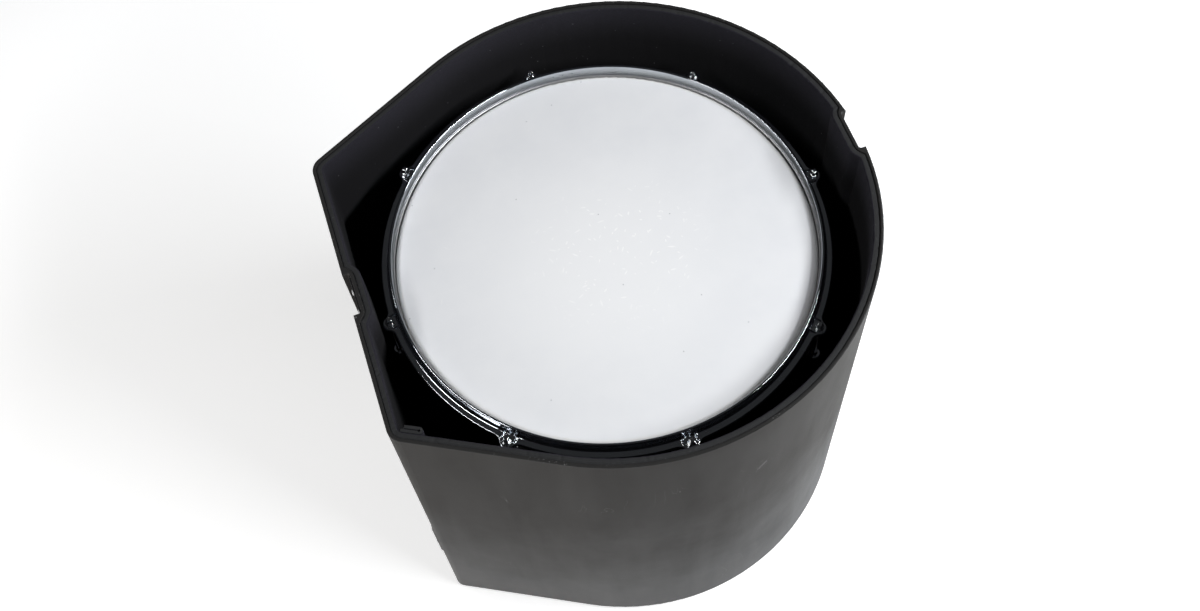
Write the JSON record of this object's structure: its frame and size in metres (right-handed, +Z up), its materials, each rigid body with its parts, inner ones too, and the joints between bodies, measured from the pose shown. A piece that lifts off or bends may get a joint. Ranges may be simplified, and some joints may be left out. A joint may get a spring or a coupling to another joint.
{
  "type": "timpani drum in carrying case",
  "caption": "Small kettledrum with a coated head, cast counterhoop and key-turned tension rods, standing in the open D-shaped base of its lined carrying case.",
  "frame": {"origin": "middle of the footprint, on the floor under the case", "axes": "+Z up; the case's flat side and its two skids face -X, the round side faces +X"},
  "size_m": [0.632, 0.6234, 0.563],
  "materials": {
    "shell_plastic": "satin, moulded polyethylene with a faint grain",
    "lining_foam": "dark foam sheet with a brushed face",
    "cradle_foam": "cut dark foam",
    "strap_webbing": "woven webbing",
    "skid_plastic": "matt moulded plastic",
    "rivet_steel": "dull steel",
    "kettle_fibreglass": "black gel coat on fibreglass",
    "bearing_steel": "turned steel",
    "hoop_chrome": "bright chrome plate with light wear",
    "rod_chrome": "bright chrome plate",
    "casing_chrome": "bright chrome plate",
    "coated_film": "white sprayed coating on polyester film, matt",
    "flesh_aluminium": "plain rolled aluminium",
    "gasket_rubber": "matt black rubber",
    "screw_steel": "zinc-plated steel",
    "nut_brass": "machined brass",
    "retainer_nylon": "natural nylon"
  },
  "bodies": {
    "case": {"case_shell": "shell_plastic", "wall_lining": "lining_foam", "lining_fold": "lining_foam", "floor_pad": "lining_foam", "foam_cradle": "cradle_foam", "case_strap": "strap_webbing", "strap_rivets": "rivet_steel", "back_skid_near": "skid_plastic", "back_skid_far": "skid_plastic", "skid_rivets": "rivet_steel"},
    "kettle": {"kettle_bowl": "kettle_fibreglass", "bearing_ring": "bearing_steel", "vent_grommet": "casing_chrome", "lug_gaskets": "gasket_rubber", "lug_screws": "screw_steel", "lug_screw_washers": "screw_steel", "swivel_nuts": "nut_brass", "nut_retainers": "retainer_nylon", "lug_casing_1": "casing_chrome", "lug_casing_2": "casing_chrome", "lug_casing_3": "casing_chrome", "lug_casing_4": "casing_chrome", "lug_casing_5": "casing_chrome", "lug_casing_6": "casing_chrome", "lug_casing_7": "casing_chrome", "lug_casing_8": "casing_chrome"},
    "hoop": {"counterhoop": "hoop_chrome", "flesh_hoop": "flesh_aluminium", "head_film": "coated_film", "rod_washers": "rod_chrome"},
    "rod_1": {"tension_rod_1": "rod_chrome"},
    "rod_2": {"tension_rod_2": "rod_chrome"},
    "rod_3": {"tension_rod_3": "rod_chrome"},
    "rod_4": {"tension_rod_4": "rod_chrome"},
    "rod_5": {"tension_rod_5": "rod_chrome"},
    "rod_6": {"tension_rod_6": "rod_chrome"},
    "rod_7": {"tension_rod_7": "rod_chrome"},
    "rod_8": {"tension_rod_8": "rod_chrome"}
  },
  "joints": [
    {"name": "drum_lift", "type": "slide", "parent": "case", "child": "kettle", "axis": [0, 0, 1], "range_m": [0, 0.45]},
    {"name": "hoop_lift", "type": "slide", "parent": "kettle", "child": "hoop", "axis": [0, 0, 1], "range_m": [0, 0.012]},
    {"name": "rod_1_turn", "type": "hinge", "parent": "hoop", "child": "rod_1", "pos_m": [0.26619, 0.01319, 0.44], "axis": [0, 0, 1], "range_deg": [0, 4090]},
    {"name": "rod_2_turn", "type": "hinge", "parent": "hoop", "child": "rod_2", "pos_m": [0.17854, 0.20202, 0.44], "axis": [0, 0, 1], "range_deg": [0, 4090]},
    {"name": "rod_3_turn", "type": "hinge", "parent": "hoop", "child": "rod_3", "pos_m": [-0.01696, 0.27356, 0.44], "axis": [0, 0, 1], "range_deg": [0, 4090]},
    {"name": "rod_4_turn", "type": "hinge", "parent": "hoop", "child": "rod_4", "pos_m": [-0.20579, 0.18591, 0.44], "axis": [0, 0, 1], "range_deg": [0, 4090]},
    {"name": "rod_5_turn", "type": "hinge", "parent": "hoop", "child": "rod_5", "pos_m": [-0.27733, -0.00959, 0.44], "axis": [0, 0, 1], "range_deg": [0, 4090]},
    {"name": "rod_6_turn", "type": "hinge", "parent": "hoop", "child": "rod_6", "pos_m": [-0.18968, -0.19842, 0.44], "axis": [0, 0, 1], "range_deg": [0, 4090]},
    {"name": "rod_7_turn", "type": "hinge", "parent": "hoop", "child": "rod_7", "pos_m": [0.00582, -0.26996, 0.44], "axis": [0, 0, 1], "range_deg": [0, 4090]},
    {"name": "rod_8_turn", "type": "hinge", "parent": "hoop", "child": "rod_8", "pos_m": [0.19465, -0.18231, 0.44], "axis": [0, 0, 1], "range_deg": [0, 4090]}
  ],
  "couplings": [
    {"joint": "rod_1_turn", "follows": "hoop_lift", "rad_per_m": 5937.1},
    {"joint": "rod_2_turn", "follows": "hoop_lift", "rad_per_m": 5937.1},
    {"joint": "rod_3_turn", "follows": "hoop_lift", "rad_per_m": 5937.1},
    {"joint": "rod_4_turn", "follows": "hoop_lift", "rad_per_m": 5937.1},
    {"joint": "rod_5_turn", "follows": "hoop_lift", "rad_per_m": 5937.1},
    {"joint": "rod_6_turn", "follows": "hoop_lift", "rad_per_m": 5937.1},
    {"joint": "rod_7_turn", "follows": "hoop_lift", "rad_per_m": 5937.1},
    {"joint": "rod_8_turn", "follows": "hoop_lift", "rad_per_m": 5937.1}
  ]
}
